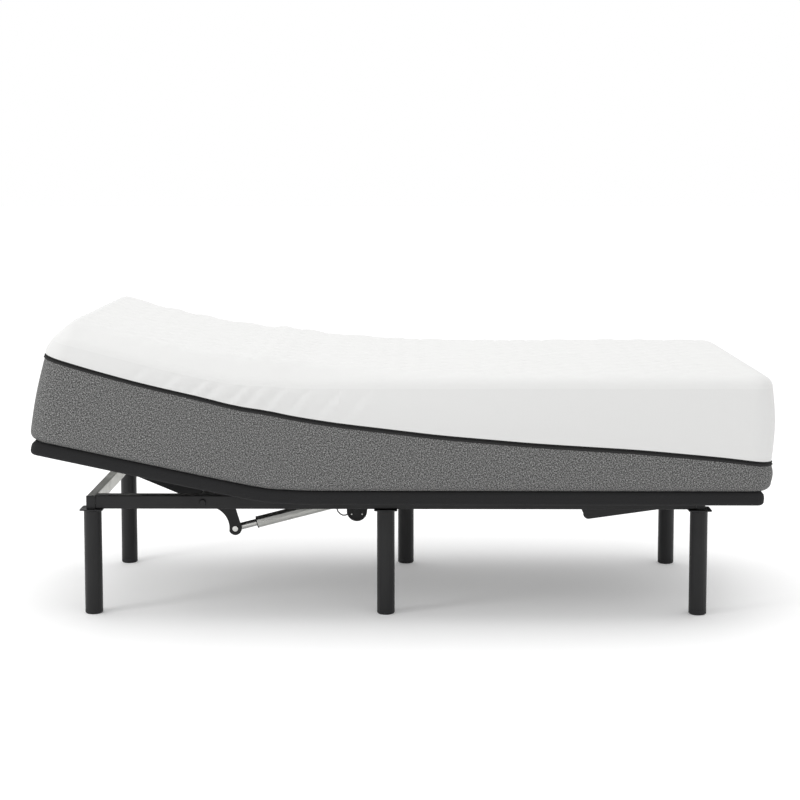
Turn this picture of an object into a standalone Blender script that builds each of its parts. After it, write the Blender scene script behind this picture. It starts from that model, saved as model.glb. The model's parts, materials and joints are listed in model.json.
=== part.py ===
"""Adjustable bed base, twin XL, with the mattress that it carries.

Lengths are in metres. X runs from the head end (-) to the foot end (+), Y to the sleeper's
left and Z up, with the floor at Z = 0. Places along the bed are written from the middle of the
steel frame; the empty "bed" then shifts everything so that the whole object is centred on X = 0.

The deck is four upholstered panels on a steel frame with six legs. Two actuators push cranks on
two torque tubes, whose arms lift the head and thigh panels on rollers. The head stands 12
degrees up, which is the rest pose, and the thigh and foot panels lie flat.
"""

import math

import bmesh
import bpy
from mathutils import Matrix

# ---------------------------------------------------------------- driving dimensions
GAP = 0.0003  # left between pieces that touch
BED_SHIFT = -0.0155  # from the middle of the frame to the middle of the whole object

LEG_HEIGHT = 0.301
LEG_RADIUS = 0.025
LEG_WALL = 0.0015
LEG_PLATE = 0.065
LEG_PLATE_T = 0.003
GLIDE_HEIGHT = 0.012
END_LEG_X = 0.8535
MID_LEG_X = 0.027  # the two middle legs are staggered by twice this

RAIL = 0.038  # side rails and inner cross tubes are square tube
RAIL_Y = 0.313
TUBE_WALL = 0.002
END_TUBE_WIDTH = 0.025
END_TUBE_X = 0.855
INNER_TUBE_X = {"head": -0.025, "thigh": -0.335}  # each carries the tail of one actuator

DECK_Z = 0.340
DECK_T = 0.038
DECK_WIDTH = 0.953
DECK_END_RADIUS = 0.015
HEAD_LENGTH = 0.6715
SEAT_LENGTH = 0.335
THIGH_LENGTH = 0.335
FOOT_LENGTH = 0.6715
HINGE_CLEARANCE = 0.005  # from a hinge axis to each of its two panels

MATTRESS_T = 0.312
MATTRESS_WIDTH = 0.965
MATTRESS_HEAD_X = -1.008
MATTRESS_FOOT_X = 1.024
MATTRESS_CORNER = 0.025
SEAM_CORNER = 0.006  # where two stretches of the mattress meet

HEAD_RAISED = 12  # degrees above flat at rest
HEAD_TRAVEL = 60  # degrees above flat at most
THIGH_TRAVEL = 40

TORQUE_RADIUS = 0.016
ROLLER_RADIUS = 0.018
ROLLER_WIDTH = 0.022
AXLE_RADIUS = 0.006
ARM_Y = 0.208
ARM_T = 0.006
HEAD_ARM = 0.279
THIGH_ARM = 0.170
HEAD_LIFT_RAISED = 18.9  # degrees that the head's torque tube stands from its flat pose

HEAD_LIFT_AT = (-0.541, 0.320)  # pairs like this are (x, z)
THIGH_LIFT_AT = (0.110, 0.320)
HEAD_PIN_AT = (-0.482, 0.178)
THIGH_PIN_AT = (0.0667, 0.2468)
HEAD_TAIL_AT = (-0.064, 0.286)
THIGH_TAIL_AT = (-0.290, 0.283)
HEAD_DRIVE_Y = 0.0
THIGH_DRIVE_Y = 0.115

ROD_RADIUS = 0.0105
DRIVE_TUBE_RADIUS = 0.0175
PIN_RADIUS = 0.0075
EYE_RADIUS = 0.016
CRANK_T = 0.006
EYE_WIDTH = 2 * ROD_RADIUS + 0.001

LINK_AT = (0.546, 0.2805)
LINK_LENGTH = 0.240
LINK_RISE = 8  # degrees
LINK_Y = 0.2855
LINK_T = 0.005

INLET = (0.018, 0.011, 0.010)  # the socket's width, depth and height

SEGMENTS = 24

# ---------------------------------------------------------------- derived places
HINGE_Z = DECK_Z + DECK_T / 2
HEAD_HINGE_X = -SEAT_LENGTH
THIGH_HINGE_X = 0.0
KNEE_X = THIGH_LENGTH
RAIL_BOTTOM = LEG_HEIGHT + GAP
RAIL_TOP = RAIL_BOTTOM + RAIL
RAIL_CENTRE = RAIL_BOTTOM + RAIL / 2
FRAME_HALF_WIDTH = RAIL_Y + RAIL / 2
INNER_HALF_WIDTH = RAIL_Y - RAIL / 2 - GAP
RAIL_HALF_LENGTH = END_TUBE_X - END_TUBE_WIDTH / 2 - GAP
SIDES = {"right": -1, "left": 1}

# ---------------------------------------------------------------- scene, materials, helpers
for old in list(bpy.data.objects):
    bpy.data.objects.remove(old)


def collection(name):
    made = bpy.data.collections.new(name)
    bpy.context.scene.collection.children.link(made)
    return made


PARTS = collection("adjustable_bed_base")
CUTTERS = collection("cutters")


def material(name, colour, roughness, metallic=0.0):
    made = bpy.data.materials.new(name)
    made.use_nodes = True
    shader = made.node_tree.nodes["Principled BSDF"]
    shader.inputs["Base Color"].default_value = (*colour, 1)
    shader.inputs["Roughness"].default_value = roughness
    shader.inputs["Metallic"].default_value = metallic
    return made


BLACK_STEEL = material("black_steel", (0.018, 0.018, 0.019), 0.45)
BARE_STEEL = material("bare_steel", (0.46, 0.46, 0.44), 0.35, 1.0)
ALUMINIUM = material("aluminium", (0.60, 0.60, 0.57), 0.30, 1.0)
BLACK_PLASTIC = material("black_plastic", (0.014, 0.014, 0.015), 0.50)
DECK_FABRIC = material("deck_fabric", (0.016, 0.016, 0.018), 0.95)
MATTRESS_FABRIC = material("mattress_fabric", (0.62, 0.62, 0.61), 0.90)


def empty(name, at, turn=0, parent=None):
    """A joint's axis along Y at (x, z), turned by so many degrees about +Y."""
    made = bpy.data.objects.new(name, None)
    PARTS.objects.link(made)
    made.location = (at[0], 0, at[1])
    made.rotation_euler.y = math.radians(turn)
    made.parent = parent
    return made


def place(name, mesh, finish, parent, at=(0, 0, 0)):
    """An object of the part, at a place in its parent's frame."""
    made = bpy.data.objects.new(name, mesh)
    PARTS.objects.link(made)
    made.parent = parent
    made.location = at
    mesh.materials.clear()
    mesh.materials.append(finish)
    mesh.shade_smooth()
    mesh.set_sharp_from_angle(angle=math.radians(35))
    return made


def operand(mesh, parent, at=(0, 0, 0)):
    """A hidden object that a Boolean modifier reads."""
    made = bpy.data.objects.new(mesh.name + "_operand", mesh)
    CUTTERS.objects.link(made)
    made.parent = parent
    made.location = at
    made.hide_render = True
    made.display_type = "WIRE"
    return made


def combine(target, how, mesh, at=(0, 0, 0)):
    """Joins a mesh to the target (UNION) or cuts it away (DIFFERENCE), in the parent's frame."""
    modifier = target.modifiers.new(how.lower(), "BOOLEAN")
    modifier.operation = how
    modifier.solver = "EXACT"
    modifier.object = operand(mesh, target.parent, at)


AXES = {
    "X": Matrix(((0, 0, 1, 0), (1, 0, 0, 0), (0, 1, 0, 0), (0, 0, 0, 1))),
    "Y": Matrix(((1, 0, 0, 0), (0, 0, -1, 0), (0, 1, 0, 0), (0, 0, 0, 1))),
    "Z": Matrix.Identity(4),
}


def extruded(name, outlines, length, along):
    """A flat outline (and its holes) extruded evenly to both sides of its plane.

    Along X the outline is in (y, z), along Y in (x, z) and along Z in (x, y).
    """
    curve = bpy.data.curves.new(name, "CURVE")
    curve.dimensions = "2D"
    curve.fill_mode = "BOTH"
    curve.extrude = length / 2
    for points in outlines:
        spline = curve.splines.new("POLY")
        spline.points.add(len(points) - 1)
        for point, (u, v) in zip(spline.points, points):
            point.co = (u, v, 0, 1)
        spline.use_cyclic_u = True
    drawn = bpy.data.objects.new(name, curve)
    bpy.context.scene.collection.objects.link(drawn)
    depsgraph = bpy.context.evaluated_depsgraph_get()
    mesh = bpy.data.meshes.new_from_object(drawn.evaluated_get(depsgraph))
    mesh.name = name
    bpy.data.objects.remove(drawn)
    bpy.data.curves.remove(curve)
    welded = bmesh.new()
    welded.from_mesh(mesh)
    bmesh.ops.remove_doubles(welded, verts=welded.verts, dist=1e-6)
    bmesh.ops.recalc_face_normals(welded, faces=welded.faces)
    welded.transform(AXES[along])
    welded.to_mesh(mesh)
    welded.free()
    return mesh


def box(name, low, high):
    """A rectangular block between two corners."""
    mesh = bpy.data.meshes.new(name)
    shape = bmesh.new()
    bmesh.ops.create_cube(shape, size=1)
    for vertex in shape.verts:
        for k in range(3):
            vertex.co[k] = low[k] if vertex.co[k] < 0 else high[k]
    shape.to_mesh(mesh)
    shape.free()
    return mesh


def circle(radius, centre=(0, 0), points=SEGMENTS):
    turn = math.tau / points
    return [
        (centre[0] + radius * math.cos(k * turn), centre[1] + radius * math.sin(k * turn))
        for k in range(points)
    ]


def hull(circles, points=SEGMENTS):
    """The outline drawn by a band stretched round circles given as (x, z, radius)."""
    cloud = sorted({p for x, z, r in circles for p in circle(r, (x, z), points)})

    def half(chain_points):
        chain = []
        for p in chain_points:
            while len(chain) > 1:
                (ax, az), (bx, bz) = chain[-2:]
                if (bx - ax) * (p[1] - az) - (bz - az) * (p[0] - ax) > 1e-12:
                    break
                chain.pop()
            chain.append(p)
        return chain[:-1]

    return half(cloud) + half(cloud[::-1])


def rounded(width, height, radius, points=12):
    """A rounded rectangle about the origin."""
    x, z = width / 2 - radius, height / 2 - radius
    return hull([(sx * x, sz * z, radius) for sx in (-1, 1) for sz in (-1, 1)], points)


def square_tube(name, width, height, length, along):
    inside = rounded(width - 2 * TUBE_WALL, height - 2 * TUBE_WALL, 0.001, 4)
    return extruded(name, [rounded(width, height, 0.003), inside], length, along)


def turned(name, profile, finish, parent, at, axis="Z"):
    """A solid of revolution; the profile is (radius, height) from its top down the outside."""
    mesh = bpy.data.meshes.new(name)
    edges = [(k, k + 1) for k in range(len(profile) - 1)]
    mesh.from_pydata([(r, 0, z) for r, z in profile], edges, [])
    made = place(name, mesh, finish, parent, at)
    screw = made.modifiers.new("turn", "SCREW")
    screw.steps = screw.render_steps = SEGMENTS
    screw.use_merge_vertices = True
    screw.merge_threshold = 1e-5
    made.rotation_euler.x = {"Z": 0, "+Y": -math.pi / 2, "-Y": math.pi / 2}[axis]
    return made


def about_y(point, degrees):
    """A point (x, z) turned about +Y."""
    c, s = math.cos(math.radians(degrees)), math.sin(math.radians(degrees))
    return (point[0] * c + point[1] * s, -point[0] * s + point[1] * c)


def minus(a, b):
    return (a[0] - b[0], a[1] - b[1])


BED = empty("bed", (BED_SHIFT, 0))


# ---------------------------------------------------------------- steel frame
def side_rails():
    for side, sign in SIDES.items():
        tube = square_tube("side_rail_" + side, RAIL, RAIL, 2 * RAIL_HALF_LENGTH, "X")
        rail = place(tube.name, tube, BLACK_STEEL, BED, (0, sign * RAIL_Y, RAIL_CENTRE))
        hole = extruded("bolt_hole", [circle(AXLE_RADIUS + GAP)], 2 * RAIL, "Y")
        combine(rail, "DIFFERENCE", hole, (HEAD_LIFT_AT[0], sign * RAIL_Y, HEAD_LIFT_AT[1]))


def end_tube(name, x):
    tube = square_tube(name, END_TUBE_WIDTH, RAIL, 2 * FRAME_HALF_WIDTH, "Y")
    place(name, tube, BARE_STEEL, BED, (x, 0, RAIL_CENTRE))


def inner_tube(name, x):
    tube = square_tube(name, RAIL, RAIL, 2 * INNER_HALF_WIDTH, "Y")
    place(name, tube, BLACK_STEEL, BED, (x, 0, RAIL_CENTRE))


def leg(name, x, y):
    """A round tube welded under a square plate, on a plastic glide that plugs into it."""
    foot = GLIDE_HEIGHT + GAP
    under_plate = LEG_HEIGHT - LEG_PLATE_T
    plate = extruded(name, [rounded(LEG_PLATE, LEG_PLATE, 0.006)], LEG_PLATE_T, "Z")
    made = place("leg_" + name, plate, BLACK_STEEL, BED, (x, y, LEG_HEIGHT - LEG_PLATE_T / 2))
    length = under_plate + LEG_PLATE_T / 2 - foot
    rings = [circle(LEG_RADIUS), circle(LEG_RADIUS - LEG_WALL)]
    tube = extruded(name + "_tube", rings, length, "Z")
    combine(made, "UNION", tube, (x, y, foot + length / 2))
    plug = LEG_RADIUS - LEG_WALL - GAP
    profile = [(0, 0.026), (plug - 0.002, 0.026), (plug, 0.024), (plug, GLIDE_HEIGHT)]
    profile += [(LEG_RADIUS, GLIDE_HEIGHT), (LEG_RADIUS, 0.003), (LEG_RADIUS - 0.003, 0), (0, 0)]
    turned("glide_" + name, profile, BLACK_PLASTIC, BED, (x, y, 0))


def legs():
    for side, sign in SIDES.items():
        leg("head_" + side, -END_LEG_X, sign * RAIL_Y)
        leg("mid_" + side, sign * MID_LEG_X, sign * RAIL_Y)
        leg("foot_" + side, END_LEG_X, sign * RAIL_Y)


def clevis(name, tube_x, tail, y):
    """A channel welded to a cross tube, with a cheek on each side of the actuator's tail."""
    towards = math.copysign(1, tail[0] - tube_x)
    back = tube_x + towards * (RAIL / 2 + GAP)
    tip = tail[0] + towards * 0.016
    half, cheek = 0.012, 0.004
    outer, inner = half + cheek, back + towards * cheek
    outline = [(back, -outer), (tip, -outer), (tip, -half), (inner, -half)]
    outline += [(inner, half), (tip, half), (tip, outer), (back, outer)]
    depth = RAIL_TOP - (tail[1] - 0.020)
    place(name, extruded(name, [outline], depth, "Z"), BLACK_STEEL, BED, (0, y, RAIL_TOP - depth / 2))


def link_brackets():
    """Plates inside the side rails that carry the foot links' lower pivots."""
    x, z = LINK_AT
    inner_face = LINK_Y + LINK_T / 2 + 0.0015
    thick = INNER_HALF_WIDTH - inner_face
    top = RAIL_TOP - 0.004
    for side, sign in SIDES.items():
        name = "link_bracket_" + side
        outline = hull([(x, z, 0.013), (x - 0.036, top, 0.003), (x + 0.030, top, 0.003)])
        plate = extruded(name, [outline], thick, "Y")
        made = place(name, plate, BLACK_STEEL, BED, (0, sign * (inner_face + thick / 2), 0))
        reach = inner_face + thick / 2 - (LINK_Y - LINK_T / 2 - 0.004)
        stub = extruded("stub", [circle(AXLE_RADIUS)], reach, "Y")
        combine(made, "UNION", stub, (x, sign * (inner_face + thick / 2 - reach / 2), z))


def control_box():
    """The electronics' housing, hung under a cross tube, with the power inlet in its end."""
    x, z = INNER_TUBE_X["head"], RAIL_BOTTOM - GAP - 0.018
    length, middle = 0.120, 0.205
    end = middle + length / 2
    housing = extruded("control_box", [rounded(0.090, 0.036, 0.006)], length, "Y")
    made = place("control_box", housing, BLACK_PLASTIC, BED, (x, middle, z))
    width, height, depth = 0.026, 0.018, 0.018
    low = (-width / 2, -depth, -height / 2)
    combine(made, "DIFFERENCE", box("recess", low, (width / 2, depth, height / 2)), (x, end, z))
    body = rounded(width - 2 * GAP, height - 2 * GAP, 0.002, 8)
    shell = extruded("power_inlet", [body], depth - GAP, "Y")
    inlet = place("power_inlet", shell, BLACK_PLASTIC, BED, (x, end - (depth - GAP) / 2, z))
    slot = extruded("slot", [rounded(INLET[0], INLET[2], 0.0045)], 2 * INLET[1], "Y")
    combine(inlet, "DIFFERENCE", slot, (x, end, z))


def pivot_bolts():
    """Shoulder bolts through the side rails that carry the head's torque tube."""
    head, shank = 0.010, AXLE_RADIUS
    face = FRAME_HALF_WIDTH + GAP
    inside = 0.262 - face
    profile = [(0, 0.005), (head - 0.002, 0.005), (head, 0.003), (head, 0)]
    profile += [(shank, 0), (shank, inside), (0, inside)]
    for side, sign in SIDES.items():
        at = (HEAD_LIFT_AT[0], sign * face, HEAD_LIFT_AT[1])
        axis = "+Y" if sign > 0 else "-Y"
        turned("head_pivot_bolt_" + side, profile, BARE_STEEL, BED, at, axis)


# ---------------------------------------------------------------- deck and mattress
def panel(name, start, end, parent, round_start, round_end):
    """An upholstered deck panel, from start to end along X in its parent's frame."""
    nose = DECK_T / 2
    ends = []
    for x, inwards, hinged in ((start, 1, round_start), (end, -1, round_end)):
        radius = nose if hinged else DECK_END_RADIUS
        lift = nose - radius
        ends += [(x + inwards * radius, z, radius) for z in {lift, -lift}]
    place(name, extruded(name, [hull(ends)], DECK_WIDTH, "Y"), DECK_FABRIC, parent)


def mattress(name, start, end, parent):
    """One stretch of the mattress, standing on its deck panel.

    Each end is given as its x at the hinge axis' height, the degrees it leans back, and the
    radius of its corners. A leaning end runs through that point and clears its neighbour.
    """
    low = DECK_T / 2 + GAP
    corners = []
    for (x, lean, radius), inwards in ((start, 1), (end, -1)):
        slope = math.radians(lean)
        for z in (low + radius, low + MATTRESS_T - radius):
            back = radius / math.cos(slope) + z * math.tan(slope)
            corners.append((x + inwards * back, z, radius))
    block = extruded(name, [hull(corners, 16)], MATTRESS_WIDTH, "Y")
    place(name, block, MATTRESS_FABRIC, parent)


def roller_plate(name, start, end, parent):
    """Thin steel under a panel for the lift arms' rollers."""
    under = -DECK_T / 2 - GAP
    width = ARM_Y - 0.002
    place(name, box(name, (start, -width, under - 0.0014), (end, width, under)), BARE_STEEL, parent)


def foot_link_lugs(parent):
    """Angle brackets under the foot panel, one beside the top of each foot link."""
    rise = math.radians(LINK_RISE)
    x = LINK_AT[0] + LINK_LENGTH * math.cos(rise) - KNEE_X
    z = LINK_AT[1] + LINK_LENGTH * math.sin(rise) - HINGE_Z
    under = -DECK_T / 2 - GAP
    outer = LINK_Y - LINK_T / 2 - 0.002
    thick = 0.005
    tops = [(x + side * 0.018, under - 0.003, 0.002) for side in (-1, 1)]
    for side, sign in SIDES.items():
        name = "foot_link_lug_" + side
        lug = extruded(name, [hull([(x, z, 0.011), *tops])], thick, "Y")
        made = place(name, lug, BLACK_STEEL, parent, (0, sign * (outer - thick / 2), 0))
        low, high = sorted((sign * outer, sign * (outer - 0.045)))
        flange = box("flange", (x - 0.020, low, under - 0.004), (x + 0.020, high, under))
        combine(made, "UNION", flange)


# ---------------------------------------------------------------- lifts
def lift_arms(prefix, direction, length, parent):
    """Tapered arms on a torque tube, each with a stub axle that points inwards for its roller."""
    outline = hull([(0, 0, 0.0175), (direction * 0.02, -0.011, 0.018), (direction * length, 0, 0.012)])
    for side, sign in SIDES.items():
        name = f"{prefix}_lift_arm_{side}"
        plate = extruded(name, [outline, circle(TORQUE_RADIUS + GAP)], ARM_T, "Y")
        made = place(name, plate, BLACK_STEEL, parent, (0, sign * ARM_Y, 0))
        reach = ROLLER_WIDTH + 0.006
        axle = extruded("axle", [circle(AXLE_RADIUS)], reach, "Y")
        combine(made, "UNION", axle, (direction * length, sign * (ARM_Y - reach / 2), 0))


def rollers(prefix, lift_at, direction, length, turn):
    """Each roller turns on its own empty, at the arm's end as the arm stands at rest."""
    end = about_y((direction * length, 0), turn)
    for side, sign in SIDES.items():
        name = f"{prefix}_roller_{side}"
        axis = empty(name + "_axis", (lift_at[0] + end[0], lift_at[1] + end[1]), turn, BED)
        rings = [circle(ROLLER_RADIUS), circle(AXLE_RADIUS + GAP)]
        y = sign * (ARM_Y - ARM_T / 2 - 0.001 - ROLLER_WIDTH / 2)
        place(name, extruded(name, rings, ROLLER_WIDTH, "Y"), BLACK_PLASTIC, axis, (0, y, 0))


def torque_tube(name, parent):
    rings = [circle(TORQUE_RADIUS), circle(TORQUE_RADIUS - 0.002)]
    length = 2 * (INNER_HALF_WIDTH - 0.0005)
    place(name, extruded(name, rings, length, "Y"), BLACK_STEEL, parent)


def crank(name, pin, outline, parent, y):
    holes = [circle(TORQUE_RADIUS + GAP), circle(PIN_RADIUS + GAP, pin)]
    plate = extruded(name, [outline] + holes, CRANK_T, "Y")
    return place(name, plate, BLACK_STEEL, parent, (0, y, 0))


def crank_y(drive_y):
    """The crank plate stands beside the rod's eye, on its right."""
    return drive_y - EYE_WIDTH / 2 - 0.001 - CRANK_T / 2


def crank_pin(name, at, drive_y, parent):
    """A pin through the crank plate and the rod's eye, with a head at each end."""
    outer = crank_y(drive_y) - CRANK_T / 2 - 0.001
    inner = drive_y + EYE_WIDTH / 2 + 0.002
    pin = extruded(name, [circle(PIN_RADIUS)], inner - outer, "Y")
    place(name, pin, BARE_STEEL, parent, (at[0], (inner + outer) / 2, at[1]))


def head_lift():
    lift = empty("head_lift", HEAD_LIFT_AT, HEAD_LIFT_RAISED, BED)
    torque_tube("head_torque_tube", lift)
    lift_arms("head", -1, HEAD_ARM, lift)
    pin = about_y(minus(HEAD_PIN_AT, HEAD_LIFT_AT), -HEAD_LIFT_RAISED)
    outline = hull([(0, 0, 0.0175), (0.026, -0.003, 0.015), (-0.025, -0.008, 0.017), (*pin, 0.0195)])
    plate = crank("head_crank", pin, outline, lift, crank_y(HEAD_DRIVE_Y))
    waist = about_y((-0.0234, -0.1404), -HEAD_LIFT_RAISED)
    scoop = extruded("scoop", [circle(0.065, points=48)], 3 * CRANK_T, "Y")
    combine(plate, "DIFFERENCE", scoop, (waist[0], crank_y(HEAD_DRIVE_Y), waist[1]))
    crank_pin("head_crank_pin", pin, HEAD_DRIVE_Y, lift)
    rollers("head", HEAD_LIFT_AT, -1, HEAD_ARM, HEAD_LIFT_RAISED)


def thigh_lift():
    lift = empty("thigh_lift", THIGH_LIFT_AT, 0, BED)
    torque_tube("thigh_torque_tube", lift)
    lift_arms("thigh", 1, THIGH_ARM, lift)
    pin = minus(THIGH_PIN_AT, THIGH_LIFT_AT)
    outline = hull([(0, 0, 0.0175), (-0.014, -0.010, 0.017), (*pin, 0.014)])
    crank("thigh_crank", pin, outline, lift, crank_y(THIGH_DRIVE_Y))
    rollers("thigh", THIGH_LIFT_AT, 1, THIGH_ARM, 0)


# ---------------------------------------------------------------- actuators
def actuator(prefix, pin, tail, y, reach, motor_at, motor_radius):
    """A rod on the crank's pin, sliding in a tube whose gear housing hangs from a clevis.

    Both pieces are built along +X from the pin, in a frame that points at the tail.
    """
    length = math.dist(pin, tail)
    slope = math.degrees(math.atan2(tail[1] - pin[1], tail[0] - pin[0]))
    ram = empty(prefix + "_ram", pin, -slope, BED)
    drive = empty(prefix + "_drive", pin, -slope, BED)
    can = about_y(minus(motor_at, pin), slope)
    front, back = reach, can[0] - motor_radius - 0.003

    rod_length = back - 0.045
    rod_mesh = extruded(prefix + "_rod", [circle(ROD_RADIUS)], rod_length - 0.012, "X")
    rod = place(prefix + "_rod", rod_mesh, BARE_STEEL, ram, ((rod_length + 0.012) / 2, y, 0))
    eye = extruded("eye", [circle(EYE_RADIUS)], EYE_WIDTH, "Y")
    combine(rod, "UNION", eye, (0, y, 0))
    bore = extruded("bore", [circle(PIN_RADIUS + GAP)], 2 * EYE_WIDTH, "Y")
    combine(rod, "DIFFERENCE", bore, (0, y, 0))

    rings = [circle(DRIVE_TUBE_RADIUS, points=12), circle(ROD_RADIUS + GAP)]
    tube = extruded(prefix + "_actuator_tube", rings, back - front, "X")
    place(tube.name, tube, ALUMINIUM, drive, ((front + back) / 2, y, 0))

    # gear housing, motor can and tail lug, in one casting
    name = prefix + "_gear_motor"
    shell = hull([(back + 0.0215, 0, 0.021), (length - 0.036, 0, 0.016), (*can, motor_radius - 0.004)])
    housing = place(name, extruded(name, [shell], 0.050, "Y"), BLACK_PLASTIC, drive, (0, y, 0))
    body = extruded("can", [circle(motor_radius)], 0.096, "Y")
    combine(housing, "UNION", body, (can[0], y, can[1]))
    lug = extruded("tail_lug", [hull([(length - 0.045, 0, 0.010), (length, 0, 0.012)])], 0.020, "Y")
    combine(housing, "UNION", lug, (0, y, 0))
    return drive


def motor_lead(parent):
    """The motor's short lead: from the side of the can, down and round, into the gear housing."""
    route = [(-0.1452, -0.030, 0.2248), (-0.1520, -0.030, 0.2222), (-0.1600, -0.030, 0.2222)]
    route += [(-0.1680, -0.030, 0.2265), (-0.1745, -0.030, 0.2340), (-0.1775, -0.030, 0.2440)]
    route += [(-0.1755, -0.030, 0.2540), (-0.1700, -0.029, 0.2620), (-0.1645, -0.025, 0.2665)]
    route += [(-0.1592, -0.0215, 0.2675)]
    slope = math.degrees(math.atan2(*minus(HEAD_TAIL_AT, HEAD_PIN_AT)[::-1]))
    curve = bpy.data.curves.new("head_motor_lead", "CURVE")
    curve.dimensions = "3D"
    curve.bevel_depth = 0.002
    curve.bevel_resolution = 2
    curve.use_fill_caps = True
    spline = curve.splines.new("POLY")
    spline.points.add(len(route) - 1)
    for point, (x, y, z) in zip(spline.points, route):
        along, above = about_y(minus((x, z), HEAD_PIN_AT), slope)
        point.co = (along, y, above, 1)
    made = bpy.data.objects.new("head_motor_lead", curve)
    PARTS.objects.link(made)
    made.parent = parent
    curve.materials.append(BLACK_PLASTIC)


def foot_links():
    rise = math.radians(LINK_RISE)
    for side, sign in SIDES.items():
        axis = empty("foot_link_axis_" + side, LINK_AT, 0, BED)
        end = (LINK_LENGTH * math.cos(rise), LINK_LENGTH * math.sin(rise))
        outline = hull([(0, 0, 0.015), (*end, 0.015)])
        name = "foot_link_" + side
        bar = extruded(name, [outline, circle(AXLE_RADIUS + GAP)], LINK_T, "Y")
        place(name, bar, BLACK_STEEL, axis, (0, sign * LINK_Y, 0))


# ---------------------------------------------------------------- assembly
side_rails()
end_tube("head_cross_tube", -END_TUBE_X)
end_tube("foot_cross_tube", END_TUBE_X)
inner_tube("head_motor_cross_tube", INNER_TUBE_X["head"])
inner_tube("thigh_motor_cross_tube", INNER_TUBE_X["thigh"])
legs()
clevis("head_motor_clevis", INNER_TUBE_X["head"], HEAD_TAIL_AT, HEAD_DRIVE_Y)
clevis("thigh_motor_clevis", INNER_TUBE_X["thigh"], THIGH_TAIL_AT, THIGH_DRIVE_Y)
link_brackets()
control_box()
pivot_bolts()

HEAD = empty("head_section", (HEAD_HINGE_X, HINGE_Z), HEAD_RAISED, BED)
SEAT = empty("seat_section", (0, HINGE_Z), 0, BED)
THIGH = empty("thigh_section", (THIGH_HINGE_X, HINGE_Z), 0, BED)
FOOT = empty("foot_section", (KNEE_X, HINGE_Z), 0, BED)
panel("head_panel", -HEAD_LENGTH, -HINGE_CLEARANCE, HEAD, False, True)
panel("seat_panel", HEAD_HINGE_X + HINGE_CLEARANCE, -HINGE_CLEARANCE, SEAT, True, True)
panel("thigh_panel", HINGE_CLEARANCE, THIGH_LENGTH - HINGE_CLEARANCE, THIGH, True, True)
panel("foot_panel", HINGE_CLEARANCE, FOOT_LENGTH, FOOT, True, False)

# The mattress blocks lean back from a hinge by half the angle that closes there.
SLACK = 0.004
AT_HEAD_HINGE = HEAD_TRAVEL / 2, SEAM_CORNER
AT_THIGH_HINGE = THIGH_TRAVEL / 2, SEAM_CORNER
UPRIGHT = 0, MATTRESS_CORNER
mattress("mattress_head", (MATTRESS_HEAD_X - HEAD_HINGE_X, *UPRIGHT), (-SLACK, *AT_HEAD_HINGE), HEAD)
mattress("mattress_seat", (HEAD_HINGE_X + SLACK, *AT_HEAD_HINGE), (-SLACK, *AT_THIGH_HINGE), SEAT)
mattress("mattress_thigh", (SLACK, *AT_THIGH_HINGE), (THIGH_LENGTH - SLACK, *UPRIGHT), THIGH)
mattress("mattress_foot", (SLACK, *UPRIGHT), (MATTRESS_FOOT_X - KNEE_X, *UPRIGHT), FOOT)

roller_plate("head_roller_plate", -0.505, -0.265, HEAD)
roller_plate("thigh_roller_plate", 0.190, 0.320, THIGH)
foot_link_lugs(FOOT)

head_lift()
thigh_lift()
HEAD_DRIVE = actuator("head", HEAD_PIN_AT, HEAD_TAIL_AT, HEAD_DRIVE_Y, 0.0685, (-0.117, 0.238), 0.0305)
actuator("thigh", THIGH_PIN_AT, THIGH_TAIL_AT, THIGH_DRIVE_Y, 0.060, (-0.235, 0.243), 0.027)
motor_lead(HEAD_DRIVE)
foot_links()
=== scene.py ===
"""Looks for the adjustable bed base: cloth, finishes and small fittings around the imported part.

Lengths are in metres. Places along the bed are written from the middle of the steel frame, as in
the part, and BED_SHIFT moves them to the row frame. The mattress and the deck's cover are drawn
lying flat, then bent at the deck's three hinges; the head end stands 12 degrees up at rest.
"""

import json
import math

import bmesh
import bpy
import numpy as np
from mathutils import Matrix, Vector


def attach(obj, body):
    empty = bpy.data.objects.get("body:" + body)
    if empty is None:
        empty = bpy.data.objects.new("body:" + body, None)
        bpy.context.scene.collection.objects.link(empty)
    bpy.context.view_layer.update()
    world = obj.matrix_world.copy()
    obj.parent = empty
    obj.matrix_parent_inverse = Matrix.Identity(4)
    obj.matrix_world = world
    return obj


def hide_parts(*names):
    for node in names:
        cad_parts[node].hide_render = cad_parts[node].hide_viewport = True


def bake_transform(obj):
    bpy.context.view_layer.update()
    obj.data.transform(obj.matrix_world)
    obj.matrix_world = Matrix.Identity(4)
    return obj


# ---------------------------------------------------------------- driving dimensions
BED_SHIFT = -0.0155
HINGE_Z = 0.359
HEAD_HINGE_X = -0.335
THIGH_HINGE_X = 0.0
KNEE_X = 0.335
HEAD_RAISED = math.radians(12)

DECK_HALF_T = 0.019
DECK_ENDS = (-1.0065, 1.0065)
DECK_HALF_WIDTH = 0.4765
DECK_SPLITS = (-0.1675, 0.1675)
DECK_EDGE = 0.012
CUSHION = 0.0055  # the deck's padding stands this much higher over the head hinge
CUSHION_REACH = 0.078

MATTRESS_LOW = 0.0193  # above the hinge axes
MATTRESS_HIGH = 0.3313
MATTRESS_ENDS = (-1.022, 1.031)
MATTRESS_HALF_WIDTH = 0.4825
MATTRESS_SPLITS = (-0.150, 0.300)

# the cloth bends between two lines at each hinge, given in degrees from upright; the lines meet
# this far below the hinge axes
FAN_DEPTH = 0.036
FANS = ((-72, 24.5), (-21, 37), (-5, 59))

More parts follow.
